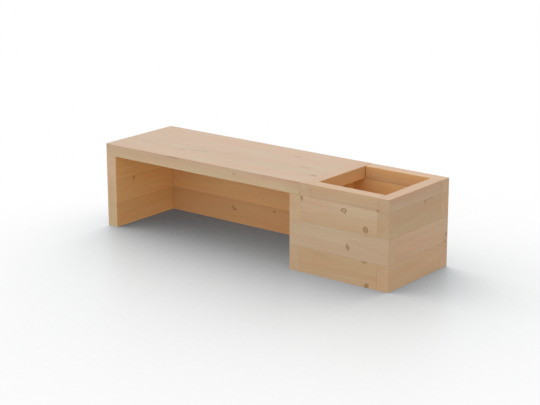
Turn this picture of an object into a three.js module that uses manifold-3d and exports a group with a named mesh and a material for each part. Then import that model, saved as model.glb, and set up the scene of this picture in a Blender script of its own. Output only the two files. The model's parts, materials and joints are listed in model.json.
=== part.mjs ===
// A garden bench with a planter at its right end, built of planed spruce boards.
// Three courses of boards stand on edge, one on the other, and their ends overlap in turn at the corners.
// On top lies one flat layer: the seat boards over the bench, and a square rim over the planter.
// Millimetres, +Z up. X runs along the bench, and -Y is the front. The origin is on the ground, under the middle.
import * as THREE from "three";
import { mergeVertices } from "three/addons/utils/BufferGeometryUtils.js";
import Module from "manifold-3d";

const wasm = await Module();
wasm.setup();

// Driving sizes of the whole bench
const overall_length = 1680;
const overall_depth = 480;
const seat_length = 1200; // from the left end to the planter's rim
const course_rise = 120; // height that each course adds
const board_thickness = 60; // of the boards on edge
const top_thickness = 60; // of the seat and the rim
const rim_width = 60;
const course_count = 3;
const seat_board_count = 4;

// Fits and edges
const joint_gap = 0.3; // between pieces that touch
const arris = 2; // the planed boards' long edges are eased by this much
const cut_overrun = 5; // a drill starts this far outside the wood

// Long washer-head timber screws, driven up from below
const screw_bite = 42; // how deep they go into the seat or the rim
const screw_thread_diameter = 8;
const screw_shank_diameter = 6;
const screw_thread_length = 100;
const screw_head_diameter = 22;
const screw_head_height = 3.5;
const screw_tip_length = 10;
const screw_tip_diameter = 1.5;
const screw_socket_diameter = 7; // across the drive socket's corners
const screw_socket_depth = 2.5;
const counterbore_depth = 16;
const screw_clearance = 0.4; // between a screw and its hole, all round
const head_clearance = 1.5; // between a screw's head and its counterbore, all round

// Battens under the seat
const batten_width = 70;
const batten_height = 24;
const batten_setback = 70; // from the seat's front edge, out of sight
const batten_shares = [0.32, 0.68]; // places along the knee space

// Planter floor
const cleat_width = 30;
const cleat_height = 30;
const cleat_rise = 20; // above the ground
const slat_thickness = 20;
const slat_count = 3;
const drain_gap = 12; // beside and between the slats

// Short countersunk screws in the battens and cleats
const short_thread_diameter = 5;
const short_shank_diameter = 3.5;
const short_head_diameter = 10;
const short_head_height = 4.5;
const short_tip_length = 6;
const short_tip_diameter = 1;
const short_socket_diameter = 4;
const short_socket_depth = 2;
const batten_screw_bite = 36; // into a seat board
const cleat_screw_bite = 40; // into a wall

const round_sides = 10; // of screws and their holes
const socket_sides = 6;

// Where the walls and the top layer lie
const left = -overall_length / 2;
const right = overall_length / 2;
const front = -overall_depth / 2;
const back = overall_depth / 2;
const seat_end = left + seat_length;
const wall_top = course_count * course_rise;
const top = wall_top + top_thickness;
const left_face = left + board_thickness; // inner face of the left side
const partition_face = seat_end - board_thickness; // face of the partition towards the knee space
const right_face = right - board_thickness;
const front_face = front + board_thickness;
const back_face = back - board_thickness;
const rim_left_face = seat_end + rim_width;
const rim_right_face = right - rim_width;
const rim_front_face = front + rim_width;
const rim_back_face = back - rim_width;

// Finishes
const spruce = { color: 0xc9a982, roughness: 0.62, metalness: 0 };
const pale_spruce = { color: 0xd6b996, roughness: 0.62, metalness: 0 };
const warm_spruce = { color: 0xc09a6c, roughness: 0.66, metalness: 0 };
const zinc_steel = { color: 0xb9b6a4, roughness: 0.35, metalness: 0.9 };

const bench = new THREE.Group();

function solid_of(geometry) {
  const bare = geometry.clone();
  bare.deleteAttribute("normal");
  bare.deleteAttribute("uv");
  const merged = mergeVertices(bare);
  return new wasm.Manifold(
    new wasm.Mesh({
      numProp: 3,
      vertProperties: new Float32Array(merged.attributes.position.array),
      triVerts: new Uint32Array(merged.index.array),
    }),
  );
}

function geometry_of(solid) {
  const mesh = solid.getMesh();
  const geometry = new THREE.BufferGeometry();
  geometry.setAttribute("position", new THREE.BufferAttribute(new Float32Array(mesh.vertProperties), 3));
  geometry.setIndex(new THREE.BufferAttribute(new Uint32Array(mesh.triVerts), 1));
  geometry.computeVertexNormals();
  return geometry;
}

function add_piece(name, geometry, finish, place) {
  const mesh = new THREE.Mesh(geometry, new THREE.MeshStandardMaterial(finish));
  mesh.name = name;
  mesh.position.copy(place);
  bench.add(mesh);
  return mesh;
}

// Boards

// A board is stated by the box that it fills, and by the axis that its grain runs along.
// Its cross-section has a place across (u) and a place up (v). eased says which of its four long edges
// are eased: [low u low v, high u low v, high u high v, low u high v].
const ALL_EDGES = [true, true, true, true];

function eased_outline(across, up, eased) {
  const corners = [
    [-across / 2, -up / 2, 1, 1],
    [across / 2, -up / 2, -1, 1],
    [across / 2, up / 2, -1, -1],
    [-across / 2, up / 2, 1, -1],
  ];
  const outline = [];
  corners.forEach(([u, v, inward_u, inward_v], index) => {
    if (!eased[index]) {
      outline.push(new THREE.Vector2(u, v));
      return;
    }
    const along_u = new THREE.Vector2(u + inward_u * arris, v);
    const along_v = new THREE.Vector2(u, v + inward_v * arris);
    outline.push(...(index % 2 === 0 ? [along_v, along_u] : [along_u, along_v]));
  });
  return new THREE.Shape(outline);
}

const boards = [];

function add_board(name, box, grain, finish, eased = ALL_EDGES) {
  const size = box.getSize(new THREE.Vector3());
  const middle = box.getCenter(new THREE.Vector3());
  const length = grain === "x" ? size.x : size.y;
  const across = grain === "x" ? size.y : size.x;
  const geometry = new THREE.ExtrudeGeometry(eased_outline(across, size.z, eased), {
    depth: length,
    bevelEnabled: false,
  });
  geometry.translate(0, 0, -length / 2);
  geometry.rotateX(Math.PI / 2);
  if (grain === "x") geometry.rotateZ(Math.PI / 2);
  boards.push({ name, box, middle, finish, solid: solid_of(geometry) });
}

function box_between(x0, x1, y0, y1, z0, z1) {
  return new THREE.Box3(new THREE.Vector3(x0, y0, z0), new THREE.Vector3(x1, y1, z1));
}

// The boards on edge. In odd courses the side boards and the partition run to the front face, and the back board
// runs to the right face. In even courses the front board runs over both of its corners, and the back board
// runs to the left face.
for (let course = 1; course <= course_count; course++) {
  const odd = course % 2 === 1;
  const low = (course - 1) * course_rise;
  const high = course * course_rise - joint_gap;

  const left_end = odd ? back : back_face - joint_gap;
  add_board(`left_side_board_${course}`, box_between(left, left_face, front, left_end, low, high), "y", spruce);

  const partition_front = odd ? front : front_face + joint_gap;
  add_board(
    `partition_board_${course}`,
    box_between(partition_face, seat_end, partition_front, back_face - joint_gap, low, high),
    "y",
    spruce,
  );

  const front_from = odd ? seat_end + joint_gap : partition_face;
  const front_to = odd ? right_face - joint_gap : right;
  add_board(`front_board_${course}`, box_between(front_from, front_to, front, front_face, low, high), "x", spruce);

  const right_from = odd ? front : front_face + joint_gap;
  const right_to = odd ? back_face - joint_gap : back;
  add_board(`right_side_board_${course}`, box_between(right_face, right, right_from, right_to, low, high), "y", spruce);

  const back_from = odd ? left_face + joint_gap : left;
  const back_to = odd ? right : right_face - joint_gap;
  add_board(`back_board_${course}`, box_between(back_from, back_to, back_face, back, low, high), "x", warm_spruce);
}

// The seat boards lie flat and close together, and only the seat's outer long edges are eased.
const seat_board_width = (overall_depth - (seat_board_count - 1) * joint_gap) / seat_board_count;
const seat_middles = [];
for (let number = 1; number <= seat_board_count; number++) {
  const near = front + (number - 1) * (seat_board_width + joint_gap);
  const first = number === 1;
  const last = number === seat_board_count;
  seat_middles.push(near + seat_board_width / 2);
  add_board(
    `seat_board_${number}`,
    box_between(left, seat_end - joint_gap, near, near + seat_board_width, wall_top, top),
    "x",
    pale_spruce,
    [first, last, last, first],
  );
}

// The rim: the left piece runs the whole depth, and each of the others butts against its neighbour.
add_board("rim_left", box_between(seat_end, rim_left_face, front, back, wall_top, top), "y", pale_spruce);
add_board(
  "rim_front",
  box_between(rim_left_face + joint_gap, rim_right_face - joint_gap, front, rim_front_face, wall_top, top),
  "x",
  pale_spruce,
);
add_board(
  "rim_right",
  box_between(rim_right_face, right, front, rim_back_face - joint_gap, wall_top, top),
  "y",
  pale_spruce,
);
add_board(
  "rim_back",
  box_between(rim_left_face + joint_gap, right, rim_back_face, back, wall_top, top),
  "x",
  pale_spruce,
);

// Battens cross the seat boards from below, between the back boards and a setback at the front.
const knee_length = partition_face - left_face;
const batten_front = front + batten_setback;
const batten_back = back_face - joint_gap;
const batten_top = wall_top - joint_gap;
const batten_middles = batten_shares.map((share) => left_face + share * knee_length);
batten_middles.forEach((middle, index) => {
  add_board(
    `seat_batten_${index + 1}`,
    box_between(
      middle - batten_width / 2,
      middle + batten_width / 2,
      batten_front,
      batten_back,
      batten_top - batten_height,
      batten_top,
    ),
    "y",
    spruce,
  );
});

// The planter's floor: a cleat on the front wall and one on the back wall carry slats that leave gaps to drain.
const cavity_front = front_face + joint_gap;
const cavity_back = back_face - joint_gap;
const cleat_from = seat_end + joint_gap;
const cleat_to = right_face - joint_gap;
const cleat_top = cleat_rise + cleat_height;
add_board(
  "floor_cleat_front",
  box_between(cleat_from, cleat_to, cavity_front, cavity_front + cleat_width, cleat_rise, cleat_top),
  "x",
  spruce,
);
add_board(
  "floor_cleat_back",
  box_between(cleat_from, cleat_to, cavity_back - cleat_width, cavity_back, cleat_rise, cleat_top),
  "x",
  spruce,
);
const slat_width = (right_face - seat_end - (slat_count + 1) * drain_gap) / slat_count;
const slat_low = cleat_top + joint_gap;
for (let number = 1; number <= slat_count; number++) {
  const from = seat_end + number * drain_gap + (number - 1) * slat_width;
  add_board(
    `floor_slat_${number}`,
    box_between(from, from + slat_width, cavity_front, cavity_back, slat_low, slat_low + slat_thickness),
    "y",
    warm_spruce,
  );
}

// Screws

// A screw's outline is turned about +Z: its head is at the bottom, and its tip points up.
function screw_geometry(outline, socket_diameter, socket_depth) {
  const turned = new THREE.LatheGeometry(
    outline.map(([radius, height]) => new THREE.Vector2(radius, height)),
    round_sides,
  );
  turned.rotateX(Math.PI / 2);
  const socket = new THREE.CylinderGeometry(
    socket_diameter / 2,
    socket_diameter / 2,
    socket_depth + cut_overrun,
    socket_sides,
  );
  socket.rotateX(Math.PI / 2);
  socket.translate(0, 0, (socket_depth - cut_overrun) / 2);
  return geometry_of(solid_of(turned).subtract(solid_of(socket)));
}

function drill(radius, length) {
  const geometry = new THREE.CylinderGeometry(radius, radius, length, round_sides);
  geometry.rotateX(Math.PI / 2);
  geometry.translate(0, 0, length / 2);
  return geometry;
}

// Cuts a hole that starts at a point of the part and runs along +Z, or along the way that turn gives it.
function cut(board, geometry, start, turn = new THREE.Quaternion()) {
  const placed = geometry.clone().applyQuaternion(turn);
  const offset = start.clone().sub(board.middle);
  placed.translate(offset.x, offset.y, offset.z);
  board.solid = board.solid.subtract(solid_of(placed));
}

// The long screws stand on the centre lines of the walls. Each goes up through whatever board lies over it.
const left_line = left + board_thickness / 2;
const partition_line = seat_end - board_thickness / 2;
const rim_left_line = seat_end + rim_width / 2;
const right_line = right - board_thickness / 2;
const front_line = front + board_thickness / 2;
const back_line = back - board_thickness / 2;
const planter_length = rim_right_face - rim_left_face;
const planter_depth = rim_back_face - rim_front_face;
const wall_screw_shares = [0.25, 0.75]; // places along the planter's opening

const long_screw_places = [];
for (const line of [left_line, partition_line]) {
  const first_place = line === partition_line ? front_line : seat_middles[0];
  long_screw_places.push([line, first_place]);
  seat_middles.slice(1, -1).forEach((middle) => long_screw_places.push([line, middle]));
  long_screw_places.push([line, back_line]);
}
long_screw_places.push([(left_face + partition_face) / 2, back_line]);
long_screw_places.push([rim_left_line, front_line]);
long_screw_places.push([rim_left_line, back_line]);
const wall_screw_lines = wall_screw_shares.map((share) => rim_left_face + share * planter_length);
wall_screw_lines.forEach((line) => long_screw_places.push([line, front_line]));
long_screw_places.push([wall_screw_lines[0], back_line]);
long_screw_places.push([right_line, front_line]);
long_screw_places.push([right_line, rim_front_face + wall_screw_shares[1] * planter_depth]);
long_screw_places.push([right_line, back_line]);

const head_bottom = counterbore_depth - joint_gap - screw_head_height;
const screw_length = wall_top + screw_bite - head_bottom;
const thread_start = screw_length - screw_thread_length;
const long_screw = screw_geometry(
  [
    [0, 0],
    [screw_head_diameter / 2, 0],
    [screw_head_diameter / 2, screw_head_height],
    [screw_shank_diameter / 2, screw_head_height],
    [screw_shank_diameter / 2, thread_start],
    [screw_thread_diameter / 2, thread_start],
    [screw_thread_diameter / 2, screw_length - screw_tip_length],
    [screw_tip_diameter / 2, screw_length],
    [0, screw_length],
  ],
  screw_socket_diameter,
  screw_socket_depth,
);
const screw_hole_radius = screw_thread_diameter / 2 + screw_clearance;
const screw_hole = drill(screw_hole_radius, wall_top + screw_bite + joint_gap + cut_overrun);
const counterbore = drill(screw_head_diameter / 2 + head_clearance, counterbore_depth + cut_overrun);

function covers(board, x, y) {
  return x > board.box.min.x && x < board.box.max.x && y > board.box.min.y && y < board.box.max.y;
}

long_screw_places.forEach(([x, y], index) => {
  const below_ground = new THREE.Vector3(x, y, -cut_overrun);
  for (const board of boards.filter((one) => covers(one, x, y))) {
    cut(board, screw_hole, below_ground);
    if (board.box.min.z === 0) cut(board, counterbore, below_ground);
  }
  add_piece(`long_screw_${index + 1}`, long_screw, zinc_steel, new THREE.Vector3(x, y, head_bottom));
});

// Short screws have a countersunk head, flush with the wood that they hold.
function short_screw(length) {
  return screw_geometry(
    [
      [0, 0],
      [short_head_diameter / 2, 0],
      [short_shank_diameter / 2, short_head_height],
      [short_shank_diameter / 2, length / 2],
      [short_thread_diameter / 2, length / 2],
      [short_thread_diameter / 2, length - short_tip_length],
      [short_tip_diameter / 2, length],
      [0, length],
    ],
    short_socket_diameter,
    short_socket_depth,
  );
}

const short_hole_radius = short_thread_diameter / 2 + screw_clearance;

function countersink() {
  const slope = (short_head_diameter - short_shank_diameter) / 2 / short_head_height;
  const mouth_radius = short_head_diameter / 2 + screw_clearance;
  const sink_depth = (mouth_radius - short_hole_radius) / slope;
  const geometry = new THREE.LatheGeometry(
    [
      new THREE.Vector2(0, -cut_overrun),
      new THREE.Vector2(mouth_radius, -cut_overrun),
      new THREE.Vector2(mouth_radius, 0),
      new THREE.Vector2(short_hole_radius, sink_depth),
      new THREE.Vector2(0, sink_depth),
    ],
    round_sides,
  );
  geometry.rotateX(Math.PI / 2);
  return geometry;
}

const sink = countersink();

// Drives a short screw from start along the way that turn gives it, through one board into another.
function drive_short_screw(name, start, turn, length, through, into) {
  const hole = drill(short_hole_radius, length + joint_gap);
  cut(through, sink, start, turn);
  cut(through, hole, start, turn);
  cut(into, hole, start, turn);
  const screw = add_piece(name, short_screw(length), zinc_steel, start);
  screw.quaternion.copy(turn);
}

function board_named(name) {
  return boards.find((board) => board.name === name);
}

// One screw goes up through a batten into each seat board, in the middle of the stretch where they cross.
const up = new THREE.Quaternion();
let batten_screw_number = 0;
batten_middles.forEach((middle, index) => {
  const batten = board_named(`seat_batten_${index + 1}`);
  for (let number = 1; number <= seat_board_count; number++) {
    const seat = board_named(`seat_board_${number}`);
    const near = Math.max(seat.box.min.y, batten_front);
    const far = Math.min(seat.box.max.y, batten_back);
    batten_screw_number++;
    drive_short_screw(
      `batten_screw_${batten_screw_number}`,
      new THREE.Vector3(middle, (near + far) / 2, batten.box.min.z),
      up,
      batten_height + joint_gap + batten_screw_bite,
      batten,
      seat,
    );
  }
});

// Two screws hold each cleat to its wall, level, halfway up the cleat. One goes in midway between two of the wall's
// long screws, and the other midway between the next long screw and the cleat's end.
const cleat_screw_lines = [(rim_left_line + wall_screw_lines[0]) / 2, (wall_screw_lines[1] + cleat_to) / 2];
const cleats = [
  { cleat: "floor_cleat_front", wall: "front_board_1", face: cavity_front + cleat_width, turn: Math.PI / 2 },
  { cleat: "floor_cleat_back", wall: "back_board_1", face: cavity_back - cleat_width, turn: -Math.PI / 2 },
];
let cleat_screw_number = 0;
for (const { cleat, wall, face, turn } of cleats) {
  for (const line of cleat_screw_lines) {
    cleat_screw_number++;
    drive_short_screw(
      `cleat_screw_${cleat_screw_number}`,
      new THREE.Vector3(line, face, cleat_rise + cleat_height / 2),
      new THREE.Quaternion().setFromAxisAngle(new THREE.Vector3(1, 0, 0), turn),
      cleat_width + joint_gap + cleat_screw_bite,
      board_named(cleat),
      board_named(wall),
    );
  }
}

for (const board of boards) {
  add_piece(board.name, geometry_of(board.solid), board.finish, board.middle);
}

export default bench;
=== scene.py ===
# A garden bench with a planter at its right end: planed spruce boards, the screws that hold them, and a
# plain studio. Metres, +Z up. X runs along the bench, -Y is the front, and the origin is on the ground
# under the middle.
import json
import math
import random
from collections import namedtuple

import bmesh
import bpy
import numpy as np
from bpy.props import FloatProperty, FloatVectorProperty, IntProperty, PointerProperty
from mathutils import Matrix, Vector


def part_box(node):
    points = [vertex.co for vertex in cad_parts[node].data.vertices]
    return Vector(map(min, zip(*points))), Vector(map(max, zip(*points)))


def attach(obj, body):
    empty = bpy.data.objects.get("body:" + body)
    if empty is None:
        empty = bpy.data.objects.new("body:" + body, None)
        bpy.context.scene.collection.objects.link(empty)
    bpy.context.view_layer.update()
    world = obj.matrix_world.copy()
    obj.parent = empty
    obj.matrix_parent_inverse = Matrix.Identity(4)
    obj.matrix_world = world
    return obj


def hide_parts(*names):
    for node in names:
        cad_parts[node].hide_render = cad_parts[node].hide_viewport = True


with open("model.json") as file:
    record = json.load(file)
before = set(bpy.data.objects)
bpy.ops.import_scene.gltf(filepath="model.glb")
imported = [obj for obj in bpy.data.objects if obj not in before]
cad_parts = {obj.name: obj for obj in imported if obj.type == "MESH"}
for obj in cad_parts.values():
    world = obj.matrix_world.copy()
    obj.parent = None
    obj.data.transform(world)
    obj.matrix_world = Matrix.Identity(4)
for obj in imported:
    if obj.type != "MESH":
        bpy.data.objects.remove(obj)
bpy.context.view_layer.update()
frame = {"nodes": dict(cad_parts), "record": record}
SCREWS = [name for name in frame["nodes"] if "screw" in name]

bl_info = {
    "name": "Garden bench with planter",
    "version": (1, 0, 0),
    "blender": (4, 5, 0),
    "location": "3D View > Sidebar > Bench",
    "description": "Builds a spruce bench with a planter, board by board",
    "category": "Add Mesh",
}

MM = 0.001
BODY = "root"


def linear(code):
    """A colour written as sRGB hex, as the linear numbers that Blender counts in."""
    parts = [int(code[i : i + 2], 16) / 255 for i in (1, 3, 5)]
    return [p / 12.92 if p <= 0.04045 else ((p + 0.055) / 1.055) ** 2.4 for p in parts]


# What a user would change


class BoardSizes(bpy.types.PropertyGroup):
    arris: FloatProperty(
        name="Arris", description="Radius of the long edges that lie free",
        default=2.2 * MM, min=0, unit="LENGTH",
    )
    arris_segments: IntProperty(
        name="Arris steps", description="Faces across a rounded arris",
        default=4, min=1,
    )
    joint_arris: FloatProperty(
        name="Joint arris", description="Radius of the edges that meet",
        default=0.35 * MM, min=0, unit="LENGTH",
    )
    open_joint: FloatProperty(
        name="Open joint", description="Gap at the back rim's left end",
        default=2.2 * MM, min=0, unit="LENGTH",
    )


class ScrewSizes(bpy.types.PropertyGroup):
    long_hole: FloatProperty(
        name="Long hole", description="Diameter",
        default=8.8 * MM, min=0, unit="LENGTH",
    )
    counterbore: FloatProperty(
        name="Counterbore", description="Diameter",
        default=25 * MM, min=0, unit="LENGTH",
    )
    counterbore_depth: FloatProperty(
        name="Counterbore depth", description="From the ground up",
        default=16 * MM, min=0, unit="LENGTH",
    )
    short_hole: FloatProperty(
        name="Short hole", description="Diameter",
        default=5.8 * MM, min=0, unit="LENGTH",
    )
    countersink: FloatProperty(
        name="Countersink", description="Diameter",
        default=10.8 * MM, min=0, unit="LENGTH",
    )
    countersink_depth: FloatProperty(
        name="Countersink depth", description="Down to the hole",
        default=3.5 * MM, min=0, unit="LENGTH",
    )
    round_sides: IntProperty(
        name="Round sides", description="Faces round a screw or a hole",
        default=36, min=8,
    )
    thread_steps: IntProperty(
        name="Thread steps", description="Steps in one turn of a thread",
        default=16, min=6,
    )


class SpruceFinish(bpy.types.PropertyGroup):
    early: FloatVectorProperty(
        name="Early wood", description="Spring growth, pale",
        subtype="COLOR", default=linear("#e1c9a8"),
    )
    late: FloatVectorProperty(
        name="Late wood", description="Summer growth, darker",
        subtype="COLOR", default=linear("#cfb490"),
    )
    # Painted bounce light: a warm tint on the faces inside the knee space and the planter, for the light the
    # wood throws about there
    painted_bounce: FloatVectorProperty(
        name="Painted bounce", description="Tints the faces inside the bench",
        subtype="COLOR", default=(1.12, 0.97, 0.68),
    )
    rosy: FloatVectorProperty(
        name="Rosy cast", description="Tints slow patches",
        subtype="COLOR", default=linear("#fff3f0"),
    )
    heart: FloatVectorProperty(
        name="Knot heart", description="Tints the middle of a knot",
        subtype="COLOR", default=linear("#d4c6b0"),
    )
    bark: FloatVectorProperty(
        name="Knot ring", description="Tints the bark ring round a knot",
        subtype="COLOR", default=linear("#c4b39d"),
    )
    resin: FloatVectorProperty(
        name="Resin", description="Tints streaks and pockets",
        subtype="COLOR", default=linear("#d2c3ac"),
    )
    ring_spacing: FloatProperty(
        name="Ring spacing", description="From one year's ring to the next",
        default=4.5 * MM, unit="LENGTH",
    )


class ZincFinish(bpy.types.PropertyGroup):
    plate: FloatVectorProperty(
        name="Zinc plate", description="Plated steel of the screws",
        subtype="COLOR", default=linear("#cfcbb8"),
    )


class StudioLight(bpy.types.PropertyGroup):
    sky: FloatProperty(name="Sky", description="Strength of the light from all round", default=0.48, min=0)
    above: FloatProperty(name="Above", description="What is added to the sky overhead", default=0.27, min=0)
    front: FloatProperty(name="Front", description="What is added to the sky in front", default=0.26, min=0)
    left: FloatProperty(
        name="Left", description="What is added to the sky on the left",
        default=0.86, min=0,
    )
    floor: FloatVectorProperty(
        name="Floor", description="The floor as it is seen",
        subtype="COLOR", default=linear("#ffffff"),
    )
    floor_bounce: FloatVectorProperty(
        name="Floor bounce", description="What the floor sends back",
        subtype="COLOR", default=(0.41, 0.34, 0.265),
    )
    shadow_reach: FloatProperty(
        name="Shadow reach", description="How far the bench's soft shadow goes",
        default=4.0, unit="LENGTH",
    )
    shadow_lean: FloatVectorProperty(
        name="Shadow lean", description="Towards the brightest sky",
        subtype="XYZ", default=(-0.6, 0.45, 1.0),
    )
    shadow_depth: FloatVectorProperty(
        name="Shadow depth", description="The soft shadow's contrast in red, green and blue",
        default=(1.21, 1.15, 1.12),
    )
    floor_gloss: FloatProperty(
        name="Floor gloss", description="Share of what the eye sees that the floor mirrors",
        subtype="FACTOR", default=0.1, min=0, max=1,
    )


# Boards

# A knot is stated by a point on the board's surface, in millimetres in the bench's own frame, the radius
# that it has there, how dark its bark ring and its heart are, from 0 to 1, and how many times longer than
# wide it is.
Knot = namedtuple("Knot", "x y z radius ring heart length", defaults=(1.25,))
# A mark is a resin streak or a pocket of bark: a point on the surface, half its length along the grain and
# half its width across it, in millimetres, and how dark it is.
Mark = namedtuple("Mark", "x y z along across dark")
# grain is the axis along which the wood grew. heart is where the tree's pith runs beside the middle of the
# board's section, in millimetres, as (side, up). lean is how many millimetres the pith wanders that way per
# metre, which draws the flames. tint multiplies the wood's colours at the board's lower edge, high_tint at
# its upper edge and end_tint on its sawn ends. free names the long edges that are rounded, because no other
# board lies against them.
Board = namedtuple(
    "Board",
    "grain heart lean tint high_tint end_tint free knots marks",
    defaults=((1, 1, 1), None, None, (), (), ()),
)
KNOTS_PER_BOARD = 3
MARKS_PER_BOARD = 5
AXES = {"x": 0, "y": 1}
TOP_EDGES = ("low top", "high top")
BOTTOM_EDGES = ("low bottom", "high bottom")

WALLS = {
    "left_side_board_1": Board("y", (-38, 8), (9, 14), (1.0, 0.95, 0.9), end_tint=(0.99, 1.0, 0.89)),
    "left_side_board_2": Board(
        "y", (-42, -12), (-12, 10), (1.08, 1.04, 1.0), end_tint=(1.02, 1.0, 0.95),
        marks=[Mark(-780, -113, 229, 8, 15, 0.9)],
    ),
    "left_side_board_3": Board(
        "y", (-36, 5), (10, -12), (1.12, 1.12, 1.08), end_tint=(1.1, 1.05, 1.07),
        marks=[Mark(-840, 60, 300, 14, 5, 0.5)],
    ),
    "partition_board_1": Board(
        "y", (38, -8), (-10, 12), (0.96, 0.94, 0.9), end_tint=(0.92, 0.89, 0.88),
        knots=[Knot(300, 60, 50, 7, 0.8, 0.8)],
    ),
    "partition_board_2": Board("y", (40, 10), (12, -9), (1.0, 0.99, 0.97)),
    # The partition's top board is tinted paler than the others: painted light, which brightens its faces in
    # the dim planter and under the seat
    "partition_board_3": Board("y", (36, -14), (-8, 14), (1.15, 1.25, 1.15), end_tint=(0.98, 0.97, 0.91)),
    "front_board_1": Board(
        "x", (36, -16), (10, 26), (0.88, 0.825, 0.74), high_tint=(0.885, 0.84, 0.735),
        marks=[
            Mark(713, -240, 115, 17, 8, 0.6), Mark(727, -240, 8, 14, 15, 0.95),
            Mark(470, -240, 104, 60, 9, 0.2),
        ],
    ),
    "front_board_2": Board(
        "x", (38, 10), (-12, -22), (0.915, 0.935, 0.955), end_tint=(1.1, 1.08, 1.09),
        marks=[
            Mark(619, -240, 170, 7, 15, 0.95), Mark(627, -240, 165, 8, 15, 0.85),
            Mark(722, -240, 237, 18, 3, 0.5),
        ],
    ),
    "front_board_3": Board(
        "x", (34, 14), (14, 24), (0.895, 0.86, 0.785), high_tint=(0.99, 0.985, 1.015),
        knots=[Knot(600, -240, 331.5, 9.2, 0.75, 0.65, 1.55), Knot(717, -240, 266, 10, 0.35, 0.95)],
        marks=[
            Mark(368, -240, 351, 10, 17, 0.95), Mark(607, -240, 319, 6, 6, 0.55),
            Mark(779, -240, 360, 7, 6, 0.8),
        ],
    ),
    "right_side_board_1": Board(
        "y", (-36, 12), (-12, 20), (1.05, 0.95, 0.85), end_tint=(0.94, 0.87, 0.81),
        marks=[Mark(840, 60, 62, 6, 4, 0.15)],
    ),
    "right_side_board_2": Board(
        "y", (-38, -10), (10, -24), (1.06, 0.98, 0.955),
        marks=[
            Mark(840, 229, 158, 13, 11, 0.75), Mark(840, 220, 125, 11, 13, 0.7),
            Mark(840, 205, 122, 14, 5, 0.3),
        ],
    ),
    "right_side_board_3": Board(
        "y", (-34, 16), (14, 18), (0.955, 0.915, 0.83), end_tint=(0.885, 0.86, 0.81),
        marks=[
            Mark(840, 45, 350, 12, 9, 0.65), Mark(840, 84, 354, 36, 3, 0.4),
            Mark(781, -240, 361, 8, 6, 0.9),
        ],
    ),
    "back_board_1": Board(
        "x", (2, -24), (6, 8), (0.83, 0.745, 0.73), end_tint=(1.12, 1.06, 1.07),
        knots=[Knot(-560, 240, 84, 8, 0.9, 0.8), Knot(330, 240, 50, 9, 0.8, 0.9)],
        marks=[
            Mark(-380, 180, 81, 11, 6, 0.9), Mark(-368, 180, 69, 14, 6, 1.0),
            Mark(-116, 180, 101, 10, 7, 0.9), Mark(-60, 240, 60, 20, 5, 0.5),
        ],
    ),
    "back_board_2": Board(
        "x", (-4, 10), (-7, 6), (0.98, 0.94, 0.945),
        knots=[
            Knot(-690, 240, 170, 9, 0.8, 0.6), Knot(-60, 240, 205, 7, 0.9, 0.9),
            Knot(520, 240, 188, 10, 0.8, 0.7),
        ],
    ),
    "back_board_3": Board(
        "x", (3, -8), (6, -8), (1.1, 1.06, 1.05), end_tint=(1.11, 1.06, 1.05),
        knots=[
            Knot(-300, 240, 300, 9, 0.9, 0.8), Knot(160, 240, 322, 6, 0.7, 0.8),
            Knot(700, 240, 280, 8, 0.9, 0.4),
        ],
    ),
}

SEAT = {
    "seat_board_1": Board(
        "x", (10, -42), (12, 6), (0.985, 1.03, 0.98), high_tint=(0.935, 0.89, 0.91),
        free=("low top", "low bottom"),
        marks=[
            Mark(-23, -240, 396, 14, 5, 0.6), Mark(-406, -240, 416, 56, 4, 0.6),
            Mark(357, -240, 369, 6, 11, 0.6), Mark(330, -240, 390, 75, 40, 0.13),
            Mark(-700, -176, 420, 10, 5, 0.2),
        ],
    ),
    "seat_board_2": Board(
        "x", (-12, -40), (-16, 5), (0.905, 0.885, 0.91),
        marks=[
            Mark(-466, -95, 420, 15, 13, 0.45), Mark(-398, -80, 420, 36, 14, 0.35),
            Mark(-351, -66, 420, 28, 14, 0.3), Mark(216, -15, 420, 34, 13, 0.3),
            Mark(336, -113, 420, 22, 14, 0.7),
        ],
    ),
    "seat_board_3": Board(
        "x", (6, -44), (14, -5), (0.925, 0.895, 0.94),
        marks=[Mark(-180, 40, 420, 9, 6, 0.2)],
    ),
    "seat_board_4": Board(
        "x", (-8, -40), (-12, 6), (0.945, 0.885, 0.915), free=("high top",),
        marks=[Mark(70, 127, 420, 27, 13, 0.45), Mark(200, 150, 420, 12, 7, 0.15)],
    ),
}

RIM = {
    "rim_left": Board(
        "y", (8, -34), (8, 6), (1.08, 0.97, 0.93), high_tint=(0.94, 0.85, 0.83),
        end_tint=(0.97, 0.94, 0.93), free=("high top", "high bottom"),
        marks=[Mark(390, 120, 420, 5, 3, 0.2)],
    ),
    "rim_front": Board(
        "x", (24, -22), (8, 10), (0.87, 0.835, 0.82), high_tint=(0.95, 0.865, 0.79),
        free=(*TOP_EDGES, "high bottom"),
        marks=[Mark(779, -240, 362, 7, 6, 0.8)],
    ),
    "rim_right": Board(
        "y", (-26, -18), (9, -8), (0.98, 1.04, 1.06), high_tint=(0.95, 0.835, 0.79),
        end_tint=(0.91, 0.89, 0.885), free=(*TOP_EDGES, "low bottom"),
        marks=[Mark(781, -240, 362, 8, 6, 0.9)],
    ),
    "rim_back": Board(
        "x", (20, -24), (-8, 8), (0.9, 0.87, 0.96), high_tint=(1.02, 0.935, 0.89),
        end_tint=(1.13, 1.08, 1.08), free=(*TOP_EDGES, "low bottom"),
        knots=[Knot(600, 240, 392, 6, 0.6, 0.6)],
    ),
}

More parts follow.
